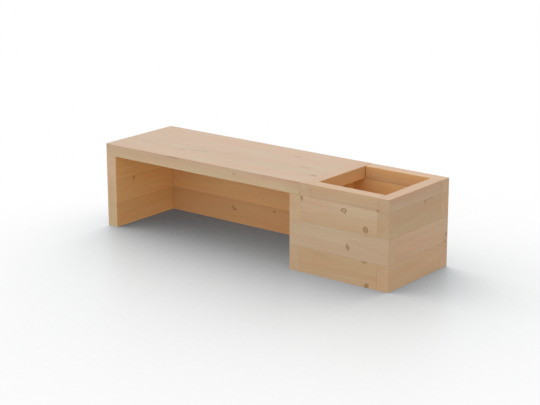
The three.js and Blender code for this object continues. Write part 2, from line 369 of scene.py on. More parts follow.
INSIDE = {
    "seat_batten_1": Board("y", (14, 26), (8, 6), (0.97, 0.95, 0.92), free=BOTTOM_EDGES),
    "seat_batten_2": Board("y", (-16, 22), (-8, 6), (0.97, 0.95, 0.92), free=BOTTOM_EDGES),
    "floor_cleat_front": Board("x", (12, -30), (6, 6), (0.96, 0.94, 0.9), free=("high bottom",)),
    "floor_cleat_back": Board("x", (-10, -28), (6, -6), (0.96, 0.94, 0.9), free=("low bottom",)),
    "floor_slat_1": Board(
        "y", (12, -34), (16, 6), (0.95, 0.93, 0.9), free=TOP_EDGES + BOTTOM_EDGES,
        knots=[Knot(434, 30, 70, 6, 0.8, 0.8)],
    ),
    "floor_slat_2": Board(
        "y", (-14, -30), (-14, 6), (0.98, 0.96, 0.93), free=TOP_EDGES + BOTTOM_EDGES,
        knots=[Knot(560, -90, 70, 5, 0.7, 0.8)],
    ),
    "floor_slat_3": Board(
        "y", (8, -36), (15, -5), (0.94, 0.93, 0.9), free=TOP_EDGES + BOTTOM_EDGES,
        knots=[Knot(712, 70, 70, 6, 0.8, 0.7)],
    ),
}

BRANCH_SLOPE = 0.18  # a branch climbs this much along the trunk for each unit outwards
SAME_PLACE = 1e-6  # metres
STRAIGHT = 0.9999  # a face is flat, and not shaded round, if its normal has this share along one axis


def add_attribute(mesh, name, kind, domain, values):
    """Gives a mesh one value for each point, corner or face, or the same value everywhere."""
    field = "vector" if kind == "FLOAT_VECTOR" else "value"
    made = mesh.attributes.new(name, kind, domain)
    width = 3 if kind == "FLOAT_VECTOR" else 1
    full = np.empty((len(made.data), width), np.float32)
    full[:] = np.asarray(values, np.float32).reshape(-1, width)
    made.data.foreach_set(field, full.ravel())


def write_grain(mesh, name, board, low, high):
    """Writes where each point lies in the tree, along it and off its pith to the side and up, and in the
    same measure the board's knots and marks."""
    axis = AXES[board.grain]
    side = 1 - axis
    middle = (low + high) / 2
    draw = random.Random(name)
    start = draw.uniform(1, 9)  # metres up an endless trunk, so that no two boards share a pattern

    def in_tree(points):
        from_middle = np.asarray(points, float).reshape(-1, 3) - np.array(middle)
        along = from_middle[:, axis]
        off_side = from_middle[:, side] - board.heart[0] * MM - board.lean[0] * MM * along
        off_up = from_middle[:, 2] - board.heart[1] * MM - board.lean[1] * MM * along
        return np.stack([along + start, off_side, off_up], 1)

    points = np.empty(len(mesh.vertices) * 3, np.float32)
    mesh.vertices.foreach_get("co", points)
    add_attribute(mesh, "grain", "FLOAT_VECTOR", "POINT", in_tree(points))
    for number in range(KNOTS_PER_BOARD):
        cone, look = (0, 0, 0), (0, 0, 1)
        if number < len(board.knots):
            knot = board.knots[number]
            along, off_side, off_up = in_tree([knot.x * MM, knot.y * MM, knot.z * MM])[0]
            reach = math.hypot(off_side, off_up)
            spread = knot.radius * MM / reach  # a knot is a cone that starts at the pith
            cone = (along - BRANCH_SLOPE * reach, off_side / reach * spread, off_up / reach * spread)
            look = (knot.ring, knot.heart, 1 / knot.length)
        add_attribute(mesh, f"knot_{number}", "FLOAT_VECTOR", "POINT", cone)
        add_attribute(mesh, f"knot_{number}_look", "FLOAT_VECTOR", "POINT", look)
    for number in range(MARKS_PER_BOARD):
        place, reach, dark = (0, 0, 0), (0, 0, 0), 0
        if number < len(board.marks):
            mark = board.marks[number]
            place = in_tree([mark.x * MM, mark.y * MM, mark.z * MM])[0]
            reach = 1 / np.array((mark.along * MM, mark.across * MM, mark.across * MM))
            dark = mark.dark
        add_attribute(mesh, f"mark_{number}", "FLOAT_VECTOR", "POINT", place)
        add_attribute(mesh, f"mark_{number}_reach", "FLOAT_VECTOR", "POINT", reach)
        add_attribute(mesh, f"mark_{number}_dark", "FLOAT", "POINT", dark)


def write_tint(mesh, board, low, high):
    """Writes the board's tint at each corner of each face: it runs from the lower to the upper edge, and
    the sawn ends have their own."""
    under = np.array(board.tint)
    over = np.array(board.high_tint or board.tint)
    ends = np.array(board.end_tint or board.tint)
    tints = np.empty((len(mesh.loops), 3), np.float32)
    for face in mesh.polygons:
        for corner in face.loop_indices:
            height = mesh.vertices[mesh.loops[corner].vertex_index].co.z
            share = (height - low.z) / (high.z - low.z)
            tints[corner] = ends if face.material_index else under + (over - under) * share
    add_attribute(mesh, "tint", "FLOAT_VECTOR", "CORNER", tints)


PAINTED_BOUNCE_REACH = 30 * MM  # a face this near a space that the bench encloses counts as inside it


def write_painted_bounce(mesh):
    """Marks the faces that look into the knee space or the planter, which are tinted warmer: painted bounce
    light.
    """
    spaces = [opening["box_m"] for opening in frame["record"]["physics"]["openings"]]
    inside = []
    for face in mesh.polygons:
        corners = np.array([mesh.vertices[v].co for v in face.vertices])
        reach = np.array(face.normal) * PAINTED_BOUNCE_REACH
        low = np.minimum(corners.min(0), corners.min(0) + reach)
        high = np.maximum(corners.max(0), corners.max(0) + reach)
        inside.append(any((low < space[1]).all() and (high > space[0]).all() for space in spaces))
    add_attribute(mesh, "painted_bounce", "FLOAT", "FACE", inside)


def round_edges(bm, edges, radius, segments):
    """Rounds some edges of a board."""
    if edges and radius > 0:
        bmesh.ops.bevel(
            bm,
            geom=edges,
            offset=radius,
            offset_type="OFFSET",
            affect="EDGES",
            segments=segments,
            profile=0.5,
            clamp_overlap=True,
            material=-1,
        )


def show(bm, name):
    """Makes an object of a mesh in the making, and links it to the scene."""
    mesh = bpy.data.meshes.new(name)
    bm.to_mesh(mesh)
    bm.free()
    piece = bpy.data.objects.new(name, mesh)
    bpy.context.scene.collection.objects.link(piece)
    return piece


def make_board(name, board, scene, trim=0):
    """A planed board in the place of its CAD node, with its screw holes. trim shortens it at its low
    end."""
    sizes = scene.bench_boards
    low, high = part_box(name)
    axis = AXES[board.grain]
    side = 1 - axis
    low[axis] += trim
    middle = (low + high) / 2
    bm = bmesh.new()
    bmesh.ops.create_cube(bm, size=1)
    bmesh.ops.scale(bm, vec=high - low, verts=bm.verts)
    bmesh.ops.translate(bm, vec=middle, verts=bm.verts)
    free, meeting = [], []
    for edge in bm.edges:
        start, end = (vertex.co for vertex in edge.verts)
        if abs((start - end)[axis]) > SAME_PLACE:
            beside = "low" if start[side] < middle[side] else "high"
            place = beside + (" bottom" if start.z < middle.z else " top")
            (free if place in board.free else meeting).append(edge)
    round_edges(bm, free, sizes.arris, sizes.arris_segments)
    round_edges(bm, [edge for edge in meeting if edge.is_valid], sizes.joint_arris, 1)
    for end in (low[axis], high[axis]):
        rim = [edge for edge in bm.edges if all(abs(v.co[axis] - end) < SAME_PLACE for v in edge.verts)]
        round_edges(bm, rim, sizes.joint_arris, 1)
    piece = show(bm, "planed_" + name)
    screws = screws_through(low, high)
    if screws:
        drill(piece, screws, scene.bench_screws)

    mesh = piece.data
    for material in spruce_pair(scene):
        mesh.materials.append(material)
    for face in mesh.polygons:
        face.use_smooth = max(abs(part) for part in face.normal) < STRAIGHT
        at_end = any(abs(face.center[axis] - end) < SAME_PLACE for end in (low[axis], high[axis]))
        face.material_index = 1 if at_end else 0
    write_grain(mesh, name, board, low, high)
    write_tint(mesh, board, low, high)
    write_painted_bounce(mesh)
    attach(piece, BODY)
    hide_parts(name)


# Screws and their holes

# A screw is stated in millimetres. head is its outline as (radius, height) from the middle of the head's
# outer face, neck the height at which the plain shank starts. shank, core and thread are radii, threaded is
# how much of the screw has a thread and pitch how far it climbs in a turn. tip is the length of the point
# and blunt its radius. socket is the radius of the drive, a socket with six lobes, and socket_depth its
# depth.
Screw = namedtuple("Screw", "head neck shank core thread threaded pitch tip blunt socket socket_depth")
LONG_SCREW = Screw(
    head=((0, 0), (6.4, 0), (7, 0.6), (7.2, 1.3), (10.6, 1.6), (11, 2), (11, 3.2), (10.7, 3.5), (3.6, 3.5)),
    neck=4.5,
    shank=3,
    core=2.7,
    thread=4,
    threaded=100,
    pitch=5,
    tip=10,
    blunt=0.4,
    socket=3.5,
    socket_depth=2.5,
)
SHORT_SCREW = Screw(
    head=((0, 0), (4.7, 0), (5, 0.3), (5, 0.5)),
    neck=4.5,
    shank=1.75,
    core=1.6,
    thread=2.5,
    threaded=30,
    pitch=2.2,
    tip=6,
    blunt=0.3,
    socket=2,
    socket_depth=2,
)
LOBES = 6
LOBE_SHARE = 0.1  # how far a lobe stands out of the socket's middle radius, as a share of it
THREAD_ROOT = 0.9  # the ridge starts inside the core, at this share of its radius
THREAD_CREST, THREAD_FOOT = 0.28, 0.56  # where the ridge is highest and where it ends, as shares of the pitch
SHARP_ANGLE = math.radians(35)  # a screw's edges stay sharp from here on
DRILL_OVERRUN = 0.3 * MM  # a hole goes this much further than its screw
SCREW_AXES = {"long": 2, "batten": 2, "cleat": 1}  # long and batten screws go up, cleat screws lie level


def screw_axis(name):
    return SCREW_AXES[name.split("_")[0]]


def screw_shape(name):
    return LONG_SCREW if name.startswith("long") else SHORT_SCREW


def screw_place(name):
    """How a screw that starts at the origin and points up is put in its CAD node's place, and how long it
    is."""
    low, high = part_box(name)
    axis = screw_axis(name)
    start = (low + high) / 2
    forwards = axis == 2 or start.y > 0
    way = Vector((0, 0, 0))
    way[axis] = 1 if forwards else -1
    start[axis] = low[axis] if forwards else high[axis]
    turn = Vector((0, 0, 1)).rotation_difference(way).to_matrix().to_4x4()
    return Matrix.Translation(start) @ turn, high[axis] - low[axis]


def screws_through(low, high):
    """The names of the screws that reach into a box."""
    names = []
    for name in SCREWS:
        screw_low, screw_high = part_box(name)
        middle = (screw_low + screw_high) / 2
        axis = screw_axis(name)
        meets = screw_low[axis] < high[axis] and screw_high[axis] > low[axis]
        if meets and all(low[i] < middle[i] < high[i] for i in range(3) if i != axis):
            names.append(name)
    return names


def turned(outline, sides):
    """A closed solid that an outline of (radius, height) points makes when it is spun about Z."""
    bm = bmesh.new()
    points = [bm.verts.new((radius, 0, height)) for radius, height in outline]
    edges = [bm.edges.new(pair) for pair in zip(points, points[1:])]
    bmesh.ops.spin(
        bm, geom=points + edges, cent=(0, 0, 0), axis=(0, 0, 1), angle=math.tau, steps=sides, use_merge=True
    )
    bmesh.ops.remove_doubles(bm, verts=bm.verts, dist=SAME_PLACE)
    bmesh.ops.recalc_face_normals(bm, faces=bm.faces)
    return bm


def cut_away(piece, bm):
    """Takes the solid in bm away from a piece."""
    tool = show(bm, "cutter")
    boolean = piece.modifiers.new("cut", "BOOLEAN")
    boolean.object = tool
    boolean.operation = "DIFFERENCE"
    boolean.solver = "EXACT"
    whole = piece.data
    piece.data = bpy.data.meshes.new_from_object(piece.evaluated_get(bpy.context.evaluated_depsgraph_get()))
    piece.modifiers.clear()
    for mesh in (whole, tool.data):
        bpy.data.meshes.remove(mesh)


def drill(piece, screws, sizes):
    """Drills a board's screw holes. A long screw's head sits in a wide flat counterbore, so that the bench
    stands flat, and a short screw's in a countersink."""
    drills = bmesh.new()
    for name in screws:
        place, length = screw_place(name)
        end = length + DRILL_OVERRUN
        if screw_shape(name) is LONG_SCREW:
            bore, mouth = sizes.long_hole / 2, sizes.counterbore / 2
            ground = -place.translation.z
            rise = ground + sizes.counterbore_depth
            below = ground - mouth
            outline = [(0, below), (mouth, below), (mouth, rise), (bore, rise), (bore, end), (0, end)]
        else:
            bore, mouth = sizes.short_hole / 2, sizes.countersink / 2
            depth = sizes.countersink_depth
            outline = [(0, -mouth), (mouth, -mouth), (mouth, 0), (bore, depth), (bore, end), (0, end)]
        one = turned(outline, sizes.round_sides)
        bmesh.ops.transform(one, matrix=place, verts=one.verts)
        mesh = bpy.data.meshes.new("drill")
        one.to_mesh(mesh)
        one.free()
        drills.from_mesh(mesh)
        bpy.data.meshes.remove(mesh)
    cut_away(piece, drills)


def wind_thread(bm, shape, length, steps):
    """Winds a screw's thread round its core as one ridge that fades in at its start and out at the tip."""
    begins, ends = length - shape.threaded, length - shape.tip / 2
    turns = (ends - begins) / shape.pitch
    inner = shape.core * THREAD_ROOT
    corners = [(inner, 0), (shape.thread, shape.pitch * THREAD_CREST), (inner, shape.pitch * THREAD_FOOT)]
    ridge = bm.faces.new([bm.verts.new((radius * MM, 0, (begins + up) * MM)) for radius, up in corners])
    count = int(turns * steps)
    bmesh.ops.spin(
        bm,
        geom=[*ridge.verts, *ridge.edges, ridge],
        cent=(0, 0, 0),
        axis=(0, 0, 1),
        dvec=(0, 0, (ends - begins) / count * MM),
        angle=math.tau * turns,
        steps=count,
    )
    bmesh.ops.recalc_face_normals(bm, faces=bm.faces)
    fade = shape.tip + shape.pitch
    for vertex in bm.verts:
        height = vertex.co.z / MM
        share = min(1, max(0, (height - begins) / shape.pitch), max(0, (length - height) / fade))
        radius = math.hypot(vertex.co.x, vertex.co.y) / MM
        root = min(radius, inner) * min(1, (length - height) / shape.tip)
        slim = (root + max(0, radius - inner) * share) / radius
        vertex.co.x *= slim
        vertex.co.y *= slim


def make_screw(shape, length, sizes):
    """A turned screw that starts at the origin and points up, with its socket and its thread, as a mesh.
    Its length is in millimetres."""
    start = length - shape.threaded
    outline = [
        *shape.head,
        (shape.shank, shape.neck),
        (shape.shank, start - shape.pitch),
        (shape.core, start),
        (shape.core, length - shape.tip),
        (shape.blunt, length),
        (0, length),
    ]
    outline = [(radius * MM, height * MM) for radius, height in outline]
    piece = show(turned(outline, sizes.round_sides), "screw")
    socket = bmesh.new()
    bmesh.ops.create_circle(socket, cap_ends=True, radius=shape.socket * MM, segments=sizes.round_sides)
    for vertex in socket.verts:
        swing = math.cos(LOBES * math.atan2(vertex.co.y, vertex.co.x))
        vertex.co *= (1 + LOBE_SHARE * swing) / (1 + LOBE_SHARE)
        vertex.co.z = -shape.socket_depth * MM
    raised = bmesh.ops.extrude_face_region(socket, geom=socket.faces[:])["geom"]
    raised = [item for item in raised if isinstance(item, bmesh.types.BMVert)]
    bmesh.ops.translate(socket, vec=(0, 0, 2 * shape.socket_depth * MM), verts=raised)
    bmesh.ops.recalc_face_normals(socket, faces=socket.faces)
    cut_away(piece, socket)
    bm = bmesh.new()
    wind_thread(bm, shape, length, sizes.thread_steps)
    bm.from_mesh(piece.data)
    mesh = bpy.data.meshes.new("screw")
    bm.to_mesh(mesh)
    bm.free()
    bpy.data.meshes.remove(piece.data)
    mesh.shade_smooth()
    mesh.set_sharp_from_angle(angle=SHARP_ANGLE)
    return mesh


# Materials

# How the two kinds of face differ: the fibres' length and width, how strongly the late rings show, how
# rough the wood is, and the depth of its relief.
Cut = namedtuple("Cut", "name fibre_length fibre_width late_share roughness relief")
PLANED = Cut("planed spruce, untreated", 25 * MM, 0.9 * MM, 0.28, 0.5, 0.12 * MM)
SAWN = Cut("cross-cut spruce, untreated", 9 * MM, 0.7 * MM, 0.55, 0.7, 0.25 * MM)

# Sizes of the wood's patterns, in metres. A pair is a length along the grain and a width across it.
KNOT_RAGS, KNOT_RAG_REACH = 6 * MM, 3 * MM  # bumps on a knot's outline, and the width within which it wavers
WANDER, WANDER_REACH = (0.45, 0.06), 14 * MM  # the rings' slow waves, and the width within which they run
PATCH, STREAK = (0.35, 0.04), (0.3, 9 * MM)
RAYS, RAY_LENGTH = 40, 35 * MM  # rays in a radian of the rings, and the length of a check
SAW_SPACING, SAW_SLANT = 2.5 * MM, 0.2

# Ranges, by the places of a Map Range node's inputs: 1 to 2 becomes 0 to 1, or 3 to 4 where these are stated
KNOT_EDGE = {1: 0.45, 2: 1.1}  # nearness to a knot
MARK_EDGE = {1: 1.2, 2: 0.5}  # way from a mark's middle, 1 at its outline
SUMMER, WINTER = {1: 0.2, 2: 0.86}, {1: 1.0, 2: 0.9}  # shares of a year
PATCH_SPAN = {1: 0.3, 2: 0.7}
STREAK_LIGHT, FIBRE_LIGHT = {1: 0.25, 2: 0.75, 3: 0.96, 4: 1.03}, {1: 0.25, 2: 0.75, 3: 0.97, 4: 1.03}
KNOT_RING_LIGHT = {1: -1.0, 2: 1.0, 3: 0.8, 4: 1.0}
BARK_EDGE = {1: 0.35, 2: 0.05}  # knot radii from the middle of the bark ring
CHECK_EDGE = {1: 0.64, 2: 0.72}
SOFT = {"interpolation_type": "SMOOTHSTEP"}  # for a range with soft ends
# For a Mix node that multiplies the colour at place 6 by the one at 7, as far as its factor says
TINTED = {"out": 2, "data_type": "RGBA", "blend_type": "MULTIPLY"}

GOOD_YEARS, GOOD_YEARS_SHARE = 0.35, 2.2  # how often wide and narrow rings change, and by how many rings
KNOT_RINGS = 24.0  # how close a knot's own rings lie
BARK_PLACE = 0.92  # the bark ring's middle, in knot radii
NEARLY_NONE = 0.0001  # keeps the way to a knot finite where there is none
FIBRE_RELIEF, CHECK_RELIEF, SAW_RELIEF, RELIEF_STRENGTH = 0.5, -2.0, 0.3, 0.5
LATE_GLOSS, KNOT_GLOSS = -0.1, -0.15  # late wood and knots are smoother
CHECK_DARK = 0.5
SPRUCE_IOR = 1.5


def add(tree, kind, inputs, out=0, **settings):
    """Adds a shader node with its settings. inputs gives a value or another node's output for each input,
    by name or by place."""
    node = tree.nodes.new("ShaderNode" + kind)
    for setting, value in settings.items():
        setattr(node, setting, value)
    for place, value in inputs.items():
        if isinstance(value, bpy.types.NodeSocket):
            tree.links.new(value, node.inputs[place])
        else:
            node.inputs[place].default_value = value
    return node.outputs[out] if len(node.outputs) else node


def knot_group():
    """How one knot pushes the grain aside. The knot is a cone from the pith, and the grain flows round it
    as water flows round a post."""
    group = bpy.data.node_groups.get("Spruce knot")
    if group:
        return group
    group = bpy.data.node_groups.new("Spruce knot", "ShaderNodeTree")
    for socket in ("Grain", "Knot", "Look"):
        group.interface.new_socket(socket, in_out="INPUT", socket_type="NodeSocketVector")
    group.interface.new_socket("Shift", in_out="OUTPUT", socket_type="NodeSocketVector")
    group.interface.new_socket("Nearness", in_out="OUTPUT", socket_type="NodeSocketFloat")
    way_in = group.nodes.new("NodeGroupInput")
    way_out = group.nodes.new("NodeGroupOutput")
    grain, knot, look, _ = way_in.outputs
    cone = add(group, "VectorMath", {0: knot, 1: (0, 1, 1)}, operation="MULTIPLY")
    start = add(group, "VectorMath", {0: knot, 1: (1, 0, 0)}, operation="MULTIPLY")
    steepness = add(group, "VectorMath", {0: cone, 1: cone}, out=1, operation="DOT_PRODUCT")
    radius = add(group, "VectorMath", {0: grain, 1: cone}, out=1, operation="DOT_PRODUCT")
    radius = add(group, "Math", {0: radius, 1: 0.0}, operation="MAXIMUM")
    outwards = add(group, "Math", {0: radius, 1: steepness}, operation="DIVIDE")
    on_axis = add(group, "VectorMath", {0: cone, "Scale": outwards}, operation="SCALE")
    steep = add(group, "Math", {0: steepness}, operation="SQRT")
    reach = add(group, "Math", {0: radius, 1: steep}, operation="DIVIDE")
    climb = add(group, "VectorMath", {0: (BRANCH_SLOPE, 0, 0), "Scale": reach}, operation="SCALE")
    off = add(group, "VectorMath", {0: grain, 1: start}, operation="SUBTRACT")
    off = add(group, "VectorMath", {0: off, 1: on_axis}, operation="SUBTRACT")
    off = add(group, "VectorMath", {0: off, 1: climb}, operation="SUBTRACT")
    _, _, shortening = add(group, "SeparateXYZ", {0: look}).node.outputs
    shortening = add(group, "CombineXYZ", {0: shortening, 1: 1, 2: 1})
    flat = add(group, "VectorMath", {0: off, 1: shortening}, operation="MULTIPLY")
    distance = add(group, "VectorMath", {0: flat, 1: flat}, out=1, operation="DOT_PRODUCT")
    square = add(group, "Math", {0: radius, 1: radius}, operation="MULTIPLY")
    nearness = add(group, "Math", {0: square, 1: distance}, operation="DIVIDE")
    push = add(group, "Math", {0: nearness, 1: 1.0}, operation="MINIMUM")
    shift = add(group, "VectorMath", {0: off, "Scale": push}, operation="SCALE")
    group.links.new(shift, way_out.inputs[0])
    group.links.new(nearness, way_out.inputs[1])
    return group


def wavering(tree, noise, reach):
    """Turns a noise's colour into a shift along each axis, of up to half of reach either way."""
    shift = add(tree, "VectorMath", {0: noise, 1: (0.5, 0.5, 0.5)}, operation="SUBTRACT")
    return add(tree, "VectorMath", {0: shift, 1: reach}, operation="MULTIPLY")


def along_grain(tree, place, size, detail, out=0):
    """A noise drawn out along the grain. size is its length along the grain and its width across it."""
    scale = (1 / size[0], 1 / size[1], 1 / size[1])
    place = add(tree, "VectorMath", {0: place, 1: scale}, operation="MULTIPLY")
    return add(tree, "TexNoise", {"Vector": place, "Scale": 1.0, "Detail": detail}, out=out)


def spruce(cut, finish):
    """Planed spruce, untreated: pale straw wood with slightly darker late rings, brown knots, thin resin
    streaks and a dull, silky surface. On a cross-cut end the rings show as arcs, with fine drying checks
    across them and the marks of the saw, and the wood is rougher."""
    material = bpy.data.materials.get(cut.name)
    if material:
        return material
    material = bpy.data.materials.new(cut.name)
    material.use_nodes = True
    tree = material.node_tree
    tree.nodes.clear()
    grain = add(tree, "Attribute", {}, out=1, attribute_name="grain")

    # Knots, with slightly ragged outlines
    ragged = add(tree, "TexNoise", {"Vector": grain, "Scale": 1 / KNOT_RAGS, "Detail": 1.0}, out=1)
    ragged = wavering(tree, ragged, (KNOT_RAG_REACH, KNOT_RAG_REACH, KNOT_RAG_REACH))
    ragged = add(tree, "VectorMath", {0: grain, 1: ragged}, operation="ADD")
    flowing, nearest, looks = grain, 0.0, (0, 0, 0)
    for number in range(KNOTS_PER_BOARD):
        knot = add(tree, "Attribute", {}, out=1, attribute_name=f"knot_{number}")
        look = add(tree, "Attribute", {}, out=1, attribute_name=f"knot_{number}_look")
        knot_node = add(tree, "Group", {0: ragged, 1: knot, 2: look}, node_tree=knot_group()).node
        shift, nearness = knot_node.outputs
        flowing = add(tree, "VectorMath", {0: flowing, 1: shift}, operation="SUBTRACT")
        nearest = add(tree, "Math", {0: nearest, 1: nearness}, operation="MAXIMUM")
        inside = add(tree, "MapRange", {0: nearness, **KNOT_EDGE}, **SOFT)
        look = add(tree, "VectorMath", {0: look, "Scale": inside}, operation="SCALE")
        looks = add(tree, "VectorMath", {0: looks, 1: look}, operation="MAXIMUM")
    ring_dark, heart_dark, _ = add(tree, "SeparateXYZ", {0: looks}).node.outputs

    # Resin streaks and bark pockets
    stain = 0.0
    for number in range(MARKS_PER_BOARD):
        place = add(tree, "Attribute", {}, out=1, attribute_name=f"mark_{number}")
        reach = add(tree, "Attribute", {}, out=1, attribute_name=f"mark_{number}_reach")
        dark = add(tree, "Attribute", {}, out=2, attribute_name=f"mark_{number}_dark")
        off = add(tree, "VectorMath", {0: ragged, 1: place}, operation="SUBTRACT")
        off = add(tree, "VectorMath", {0: off, 1: reach}, operation="MULTIPLY")
        off = add(tree, "VectorMath", {0: off}, out=1, operation="LENGTH")
        inside = add(tree, "MapRange", {0: off, **MARK_EDGE, 4: dark}, **SOFT)
        stain = add(tree, "Math", {0: stain, 1: inside}, operation="MAXIMUM")

    # Rings, which wander a little along the trunk. Spruce grows 2 or 3 mm a year, and rings of that width
    # don't show from where the bench is seen whole, so they are drawn about twice as wide.
    wander = along_grain(tree, flowing, WANDER, 2.0, out=1)
    wander = wavering(tree, wander, (0, WANDER_REACH, WANDER_REACH))
    off_pith = add(tree, "VectorMath", {0: flowing, 1: wander}, operation="ADD")
    off_pith = add(tree, "VectorMath", {0: off_pith, 1: (0, 1, 1)}, operation="MULTIPLY")
    from_pith = add(tree, "VectorMath", {0: off_pith}, out=1, operation="LENGTH")
    years = add(tree, "Math", {0: from_pith, 1: finish.ring_spacing}, operation="DIVIDE")
    good_years = {"W": years, "Scale": GOOD_YEARS, "Detail": 2.0}
    good_years = add(tree, "TexNoise", good_years, noise_dimensions="1D")
    years = add(tree, "Math", {0: good_years, 1: GOOD_YEARS_SHARE, 2: years}, operation="MULTIPLY_ADD")
    season = add(tree, "Math", {0: years}, operation="FRACT")
    summer = add(tree, "MapRange", {0: season, **SUMMER}, **SOFT)
    winter = add(tree, "MapRange", {0: season, **WINTER}, **SOFT)
    late = add(tree, "Math", {0: summer, 1: winter}, operation="MULTIPLY")

    # Slow patches of a rosier cast, broad streaks that follow the grain, and fibres that show only close by
    patch = along_grain(tree, flowing, PATCH, 1.0)
    patch = add(tree, "MapRange", {0: patch, **PATCH_SPAN})
    streak = along_grain(tree, flowing, STREAK, 3.0)
    fibre = along_grain(tree, flowing, (cut.fibre_length, cut.fibre_width), 2.0)

    # Colour
    late_share = add(tree, "Math", {0: late, 1: cut.late_share}, operation="MULTIPLY")
    early_and_late = {"Factor": late_share, 6: (*finish.early, 1), 7: (*finish.late, 1)}
    wood = add(tree, "Mix", early_and_late, out=2, data_type="RGBA")
    wood = add(tree, "Mix", {"Factor": patch, 6: wood, 7: (*finish.rosy, 1)}, **TINTED)
    tint = add(tree, "Attribute", {}, out=1, attribute_name="tint")
    wood = add(tree, "VectorMath", {0: wood, 1: tint}, operation="MULTIPLY")
    # Painted bounce light: faces inside the knee space and the planter are tinted warmer, for the light the
    # wood throws about there
    painted_bounce = add(tree, "Attribute", {}, out=2, attribute_name="painted_bounce")
    wood = add(tree, "Mix", {"Factor": painted_bounce, 6: wood, 7: (*finish.painted_bounce, 1)}, **TINTED)
    light = add(tree, "MapRange", {0: streak, **STREAK_LIGHT})
    fine = add(tree, "MapRange", {0: fibre, **FIBRE_LIGHT})
    light = add(tree, "Math", {0: light, 1: fine}, operation="MULTIPLY")
    wood = add(tree, "VectorMath", {0: wood, "Scale": light}, operation="SCALE")

    # A knot is brown with rings of its own, and has a darker ring where the bark was
    outwards = add(tree, "Math", {0: nearest, 1: NEARLY_NONE}, operation="MAXIMUM")
    outwards = add(tree, "Math", {0: outwards}, operation="INVERSE_SQRT")
    growth = add(tree, "Math", {0: outwards, 1: KNOT_RINGS}, operation="MULTIPLY")
    growth = add(tree, "Math", {0: growth}, operation="SINE")
    heart = add(tree, "MapRange", {0: growth, **KNOT_RING_LIGHT})
    heart = add(tree, "Math", {0: heart, 1: heart_dark}, operation="MULTIPLY")
    wood = add(tree, "Mix", {"Factor": heart, 6: wood, 7: (*finish.heart, 1)}, **TINTED)
    off_bark = add(tree, "Math", {0: outwards, 1: BARK_PLACE}, operation="SUBTRACT")
    off_bark = add(tree, "Math", {0: off_bark}, operation="ABSOLUTE")
    bark = add(tree, "MapRange", {0: off_bark, **BARK_EDGE}, **SOFT)
    bark = add(tree, "Math", {0: bark, 1: ring_dark}, operation="MULTIPLY")
    wood = add(tree, "Mix", {"Factor": bark, 6: wood, 7: (*finish.bark, 1)}, **TINTED)
    wood = add(tree, "Mix", {"Factor": stain, 6: wood, 7: (*finish.resin, 1)}, **TINTED)

    # Surface
    height = add(tree, "Math", {0: fibre, 1: FIBRE_RELIEF, 2: late}, operation="MULTIPLY_ADD")
    if cut is SAWN:
        # Checks are hairline cracks along the rays, and the saw leaves slanting lines
        _, side, up = add(tree, "SeparateXYZ", {0: off_pith}).node.outputs
        angle = add(tree, "Math", {0: side, 1: up}, operation="ARCTAN2")
        ray_place = add(tree, "CombineXYZ", {0: angle, 1: from_pith})
        ray_scale = (RAYS, 1 / RAY_LENGTH, 0)
        ray_place = add(tree, "VectorMath", {0: ray_place, 1: ray_scale}, operation="MULTIPLY")
        rays = add(tree, "TexNoise", {"Vector": ray_place, "Scale": 1.0, "Detail": 2.0})
        checks = add(tree, "MapRange", {0: rays, **CHECK_EDGE}, **SOFT)
        faint = add(tree, "Math", {0: checks, 1: CHECK_DARK}, operation="MULTIPLY")
        wood = add(tree, "Mix", {"Factor": faint, 6: wood, 7: (*finish.resin, 1)}, **TINTED)
        height = add(tree, "Math", {0: checks, 1: CHECK_RELIEF, 2: height}, operation="MULTIPLY_ADD")
        saw = add(tree, "VectorMath", {0: grain, 1: (0, SAW_SLANT, 1)}, out=1, operation="DOT_PRODUCT")
        saw = add(tree, "Math", {0: saw, 1: math.tau / SAW_SPACING}, operation="MULTIPLY")
        saw = add(tree, "Math", {0: saw}, operation="SINE")
        height = add(tree, "Math", {0: saw, 1: SAW_RELIEF, 2: height}, operation="MULTIPLY_ADD")
    rough = add(tree, "Math", {0: late, 1: LATE_GLOSS, 2: cut.roughness}, operation="MULTIPLY_ADD")
    rough = add(tree, "Math", {0: heart_dark, 1: KNOT_GLOSS, 2: rough}, operation="MULTIPLY_ADD")
    bump = add(tree, "Bump", {"Height": height, "Strength": RELIEF_STRENGTH, "Distance": cut.relief})
    shader = {"Base Color": wood, "Roughness": rough, "Normal": bump, "IOR": SPRUCE_IOR}
    shader = add(tree, "BsdfPrincipled", shader)
    add(tree, "OutputMaterial", {"Surface": shader})
    return material


def spruce_pair(scene):
    """The planed faces' material, and the sawn ends'."""
    return spruce(PLANED, scene.bench_spruce), spruce(SAWN, scene.bench_spruce)


CLOUDS = 2 * MM  # the plate's cloudy patches
CLOUD_ROUGHNESS, CLOUD_LIGHT = {1: 0.3, 2: 0.7, 3: 0.28, 4: 0.45}, {1: 0.3, 2: 0.7, 3: 0.85, 4: 1.0}
PLATE_RELIEF, PLATE_RELIEF_STRENGTH = 0.05 * MM, 0.2


def zinc_plate(finish):
    """Steel screws with a bright zinc plate: pale grey metal, faintly yellow, with soft reflections."""
    material = bpy.data.materials.new("zinc-plated steel, bright")
    material.use_nodes = True
    tree = material.node_tree
    tree.nodes.clear()
    place = add(tree, "TexCoord", {}, out=3)
    cloud = add(tree, "TexNoise", {"Vector": place, "Scale": 1 / CLOUDS, "Detail": 3.0})
    rough = add(tree, "MapRange", {0: cloud, **CLOUD_ROUGHNESS})
    dim = add(tree, "MapRange", {0: cloud, **CLOUD_LIGHT})
    colour = add(tree, "VectorMath", {0: tuple(finish.plate), "Scale": dim}, operation="SCALE")
    relief = {"Height": cloud, "Strength": PLATE_RELIEF_STRENGTH, "Distance": PLATE_RELIEF}
    bump = add(tree, "Bump", relief)
    shader = {"Base Color": colour, "Roughness": rough, "Normal": bump, "Metallic": 1.0}
    shader = add(tree, "BsdfPrincipled", shader)
    add(tree, "OutputMaterial", {"Surface": shader})
    return material


# Operators


